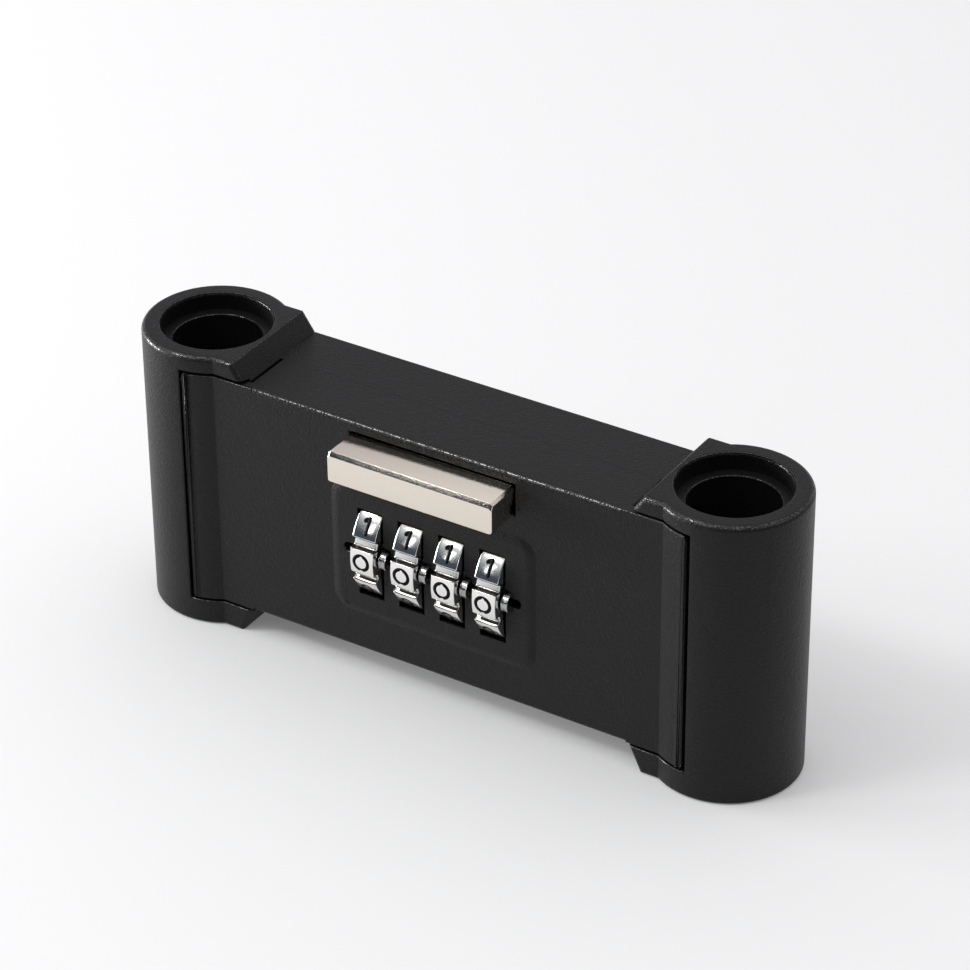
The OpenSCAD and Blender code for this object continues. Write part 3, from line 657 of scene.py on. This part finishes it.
def wheel_mesh(name, centre, half, radius):
    """A section around the ring, carried round the axle. The section runs up one side, round the rim's
    corner, across the crowned face, and down the other side to the bore. The sides take the second
    material, and "notch" is a mask of painted shade: 0 on a facet, 1 on the cast flanks of a notch
    and less on its floor."""
    # Degrees from the middle of a notch: closest together on its floor, widest apart on the facet
    spread = np.interp(np.arange(33), [0, 6, 24, 32], [0, 3, 6.5, 18])
    one = np.radians(np.concatenate([-spread[:0:-1], spread[:-1]])) + sector / 2
    turn = (one[None, :] + sector * np.arange(number_count)[:, None]).ravel()
    corner = np.linspace(0, math.pi / 2, 6)
    run, fall = wheel_rim * (1 - np.cos(corner)), wheel_rim * (1 - np.sin(corner))
    across = np.linspace(-1, 1, 11)[1:-1] * (half - wheel_rim)
    x = np.concatenate([[-half, -half], run - half, across, half - run[::-1], [half, half]])
    drop = np.concatenate([fall, 0 * across, fall[::-1]])
    drop += wheel_crown * (x[2:-2] / half) ** 2
    profile = softened(turn, radius)[:, None]
    bore = np.full((len(turn), 1), bore_radius)
    web = np.full((len(turn), 1), notch_floor - web_drop)
    r = np.concatenate([bore, web, profile - drop[None, :], web, bore], axis=1)
    mesh = closed_grid(name, np.stack([
        centre[0] + np.broadcast_to(x, r.shape),
        centre[1] - r * np.cos(turn)[:, None],
        centre[2] + r * np.sin(turn)[:, None],
    ], axis=-1))
    # Painted shade: full on a notch's flanks and weaker towards its floor
    painted_notch_shade = np.clip((radius - profile) / notch_fade, 0, 1)
    pale = np.clip(notch_floor_band - (profile - notch_floor) / notch_fade, 0, 1)
    painted_notch_shade = painted_notch_shade * (1 - notch_floor_share * pale)
    notch = mesh.attributes.new("notch", "FLOAT", "POINT")
    notch.data.foreach_set("value", np.broadcast_to(painted_notch_shade, r.shape).ravel())
    # Painted shade: the sides take the black enamel in place of the dark that their chrome shows inside the
    # windows
    side = np.zeros(r.shape, int)
    side[:, [0, 1, -3, -2]] = 1
    mesh.polygons.foreach_set("material_index", side.ravel())
    return mesh


def line(*points):
    """Stroke through straight runs between the points."""
    points = np.array(points, float)
    steps = np.linspace(0, len(points) - 1, 12 * (len(points) - 1) + 1)
    return np.stack([np.interp(steps, np.arange(len(points)), points[:, k]) for k in (0, 1)], axis=1)


def arc(x, y, rx, ry, start, end):
    """Stroke along an ellipse about x, y, from one angle to another in degrees."""
    a = np.radians(np.linspace(start, end, 49))
    return np.stack([x + rx * np.cos(a), y + ry * np.sin(a)], axis=1)


# Each number's strokes in millimetres about the middle of its facet, with half the width of each
nought_half = 0.38
stem_half = 0.4
flag_half = 0.5
usual_half = 0.34
nine_half = 0.26
strokes = {
    0: [(nought_half, arc(0, 0, 1.58, 1.58, 90, 450))],
    1: [
        (stem_half, line((0.36, 1.6), (0.3, -1.64))),
        (flag_half, line((0.26, 1.34), (-0.12, 1.24), (-0.46, 1))),
    ],
    2: [(usual_half, np.concatenate([
        arc(0, 0.75, 1.05, 0.85, 165, -35), line((0.8, 0.15), (-1.05, -1.6), (1.1, -1.6)),
    ]))],
    3: [(usual_half, np.concatenate([
        arc(0, 0.8, 0.95, 0.8, 150, -90), arc(0, -0.8, 1.05, 0.8, 90, -150),
    ]))],
    4: [
        (usual_half, line((0.5, 1.6), (-1.15, -0.65), (1.2, -0.65))),
        (usual_half, line((0.5, 0.4), (0.5, -1.6))),
    ],
    5: [(usual_half, np.concatenate([
        line((1, 1.6), (-0.8, 1.6), (-0.9, 0.15)), arc(0, -0.55, 1.1, 1.05, 140, -145),
    ]))],
    6: [
        (usual_half, arc(0, -0.65, 1.05, 0.95, 90, 450)),
        (usual_half, arc(1.15, -0.65, 2.2, 2.3, 180, 105)),
    ],
    7: [(usual_half, line((-1.05, 1.6), (1.1, 1.6), (-0.25, -1.6)))],
    8: [
        (usual_half, arc(0, 0.82, 0.85, 0.78, 90, 450)),
        (usual_half, arc(0, -0.75, 1.05, 0.85, 90, 450)),
    ],
    9: [
        (nine_half, arc(0, 0.65, 1.05, 0.95, 90, 450)),
        (nine_half, arc(-1.15, 0.65, 2.2, 2.3, 0, -75)),
    ],
}
# Degrees from the nought's top and bottom over which its ring narrows, and by what share of its half
nought_break = 9
nought_break_share = 0.7


def stroke_ribbon(number, stroke_half, path):
    """Five rows of points along a stroke, each row at its own share of the stroke's half width from the
    middle. Both ends are rounded by steps of an arc. The nought's ring narrows from inside at its top and
    from outside at its bottom, where it nearly breaks."""
    step = np.gradient(path, axis=0)
    step /= np.maximum(np.linalg.norm(step, axis=1), 1e-9)[:, None]
    cap = np.radians(np.linspace(4, 80, 5))
    middle = np.concatenate([
        path[0] - step[0] * stroke_half * np.cos(cap)[:, None],
        path,
        path[-1] + step[-1] * stroke_half * np.cos(cap[::-1])[:, None],
    ])
    step = np.concatenate([np.repeat(step[:1], len(cap), 0), step, np.repeat(step[-1:], len(cap), 0)])
    half = stroke_half * np.concatenate([np.sin(cap), np.ones(len(path)), np.sin(cap[::-1])])
    reach = half[:, None] * np.array([-1, -enamel_flat, 0, enamel_flat, 1])[None, :]
    if number == 0:
        bearing = np.degrees(np.arctan2(middle[:, 1], middle[:, 0]))
        reach[:, 3:] *= (1 - nought_break_share * (np.abs(bearing - 90) < nought_break))[:, None]
        reach[:, :2] *= (1 - nought_break_share * (np.abs(bearing + 90) < nought_break))[:, None]
    side = np.stack([-step[:, 1], step[:, 0]], axis=1)
    return middle[:, None, :] + side[:, None, :] * reach[..., None]


def number_mesh(name, centre, half, radius):
    """All ten numbers: each stroke a ribbon, turned from millimetres to metres and laid on the crowned face
    by its height and its angle."""
    lift = np.array([-enamel_sunk, enamel_height, enamel_height, enamel_height, -enamel_sunk])
    points, quads, count = [], [], 0
    for number, paths in strokes.items():
        for stroke_half, path in paths:
            flat = stroke_ribbon(number, stroke_half, path) / 1000
            x, turn = flat[..., 0], number * sector + flat[..., 1] / radius
            r = radius - wheel_crown * (x / half) ** 2 + lift
            place = [centre[0] + x, centre[1] - r * np.cos(turn), centre[2] + r * np.sin(turn)]
            points.append(np.stack(place, axis=-1).reshape(-1, 3))
            index = count + np.arange(turn.size).reshape(turn.shape)
            quad = [index[:-1, :-1], index[1:, :-1], index[1:, 1:], index[:-1, 1:]]
            quads.append(np.stack(quad, axis=-1).reshape(-1, 4))
            count += turn.size
    mesh = bpy.data.meshes.new(name)
    mesh.from_pydata(np.concatenate(points), [], np.concatenate(quads).tolist())
    mesh.shade_smooth()
    return mesh


chrome = chrome_plate()
enamel = black_enamel()
for wheel in (1, 2, 3, 4):
    node, body = "number_wheel_%d" % wheel, "wheel_%d" % wheel
    corner_low, corner_high = (np.array(c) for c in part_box(node))
    centre = (corner_low + corner_high) / 2
    half, radius = (corner_high - corner_low)[[0, 2]] / 2
    ring = new_object(node + "_chromed", wheel_mesh(node, centre, half, radius))
    finish_piece(ring, chrome, [node], body)
    ring.data.materials.append(enamel)
    numbers = new_object("numbers_%d" % wheel, number_mesh("numbers", centre, half, radius))
    numbers.data.materials.append(enamel)
    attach(numbers, body)


# ---- Index marks ----
# One comb, stamped from sheet and thinly chromed, screwed behind the cover. A round-nosed tooth shows
# beside each wheel.

index_edge = 0.00018
index_tint = (0.55, 0.55, 0.54, 1)
index_shade = (0.3, 0.3, 0.3, 1)
index_roughness = (0.18, 0.3)
index_grain = 1400
index_depth = 0.00004


def stamped_chrome():
    """Thin chrome over a stamped surface: greyer, blurred and uneven."""
    parts = new_material("stamped_chrome")
    parts[1].inputs["Metallic"].default_value = 1
    grain = grained(parts, index_grain, index_depth)
    two_tone(parts, grain.outputs["Height"], index_tint, index_shade)
    two_tone(parts, grain.outputs["Peaks"], *index_roughness, "Roughness")
    return parts[0]


comb = rounded_copy("index_comb", "index_marks", index_edge)
finish_piece(comb, stamped_chrome(), ["index_comb"], "housing")


# ---- The rest of the mechanism ----
# Hubs, spindle, frame, carrier, bolts, screws and rivets of plain zinc, steel and spring steel. They keep
# their CAD shape. Little of them shows: the heads of the cover screws at the back, and the bolts' tips in
# the sockets.

metal_grain = 1500
metal_depth = 0.00001
metal_peak_roughness = 0.15


def plain_metal(name, colour, shade, roughness):
    """Bare metal with a fine grain in its colour, gloss and relief."""
    parts = new_material(name)
    parts[1].inputs["Metallic"].default_value = 1
    grain = grained(parts, metal_grain, metal_depth)
    two_tone(parts, grain.outputs["Height"], colour, shade)
    two_tone(parts, grain.outputs["Peaks"], roughness, roughness + metal_peak_roughness, "Roughness")
    return parts[0]


metals = {
    "zinc": plain_metal("die_cast_zinc", (0.5, 0.51, 0.53, 1), (0.4, 0.41, 0.43, 1), 0.4),
    "steel": plain_metal("turned_steel", (0.6, 0.6, 0.6, 1), (0.5, 0.5, 0.5, 1), 0.28),
    "spring_steel": plain_metal("spring_steel", (0.3, 0.31, 0.33, 1), (0.22, 0.23, 0.25, 1), 0.3),
}
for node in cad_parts.values():
    for holder in node.material_slots:
        if holder.material and holder.material.name in metals:
            holder.material = metals[holder.material.name]


# ---- Springs ----
# Coils of spring wire with closed ends. Two push the release bar's carrier forward, off the rear wall, and
# two push the locking bolts inwards, off the end walls of their room.

wire_radius = 0.0003
wire_sides = 10
coil_steps = 28
closed_pitch = 2.1 * wire_radius


def spring_mesh(name, start, end, radius, turns):
    """Tube along a helix from start to end, whose outside has the radius. The first and last turns lie
    close, and the turns between them rise evenly."""
    start, end = np.array(start, float), np.array(end, float)
    length = np.linalg.norm(end - start)
    along = (end - start) / length
    one = np.array([0.0, 0.0, 1.0])
    other = np.cross(along, one)
    turn = np.linspace(0, turns, coil_steps * turns + 1)
    last = length - 2 * wire_radius
    rise = np.interp(turn, [0, 1, turns - 1, turns], [0, closed_pitch, last - closed_pitch, last])
    angle = 2 * math.pi * turn[:, None]
    outwards = np.cos(angle) * one + np.sin(angle) * other
    wire = start + (wire_radius + rise[:, None]) * along + (radius - wire_radius) * outwards
    around = np.linspace(0, 2 * math.pi, wire_sides + 1)[:-1]
    ring = np.cos(around)[None, :, None] * outwards[:, None, :] + np.sin(around)[None, :, None] * along
    return capped_tube(name, wire[:, None, :] + wire_radius * ring)


# Each coil lies along an axis of its box and stays on the housing at one end of it
for node, joint, axis, fixed_end, turns in (
    ("bar_spring_left", "release_slide", 1, 1, 7),
    ("bar_spring_right", "release_slide", 1, 1, 7),
    ("bolt_spring_left", "bolt_left_slide", 0, 0, 5),
    ("bolt_spring_right", "bolt_right_slide", 0, 1, 5),
):
    corners = np.array(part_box(node))
    middle = corners.mean(axis=0)
    ends = np.stack([middle, middle])
    ends[:, axis] = corners[:, axis]
    fixed, driven = ends[fixed_end], ends[1 - fixed_end]
    radius = (corners[1] - corners[0])[2] / 2
    spring = new_object(node + "_coil", spring_mesh(node, fixed, driven, radius, turns))
    creased(spring)
    finish_piece(spring, metals["spring_steel"], [node], "housing")
    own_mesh(spring)
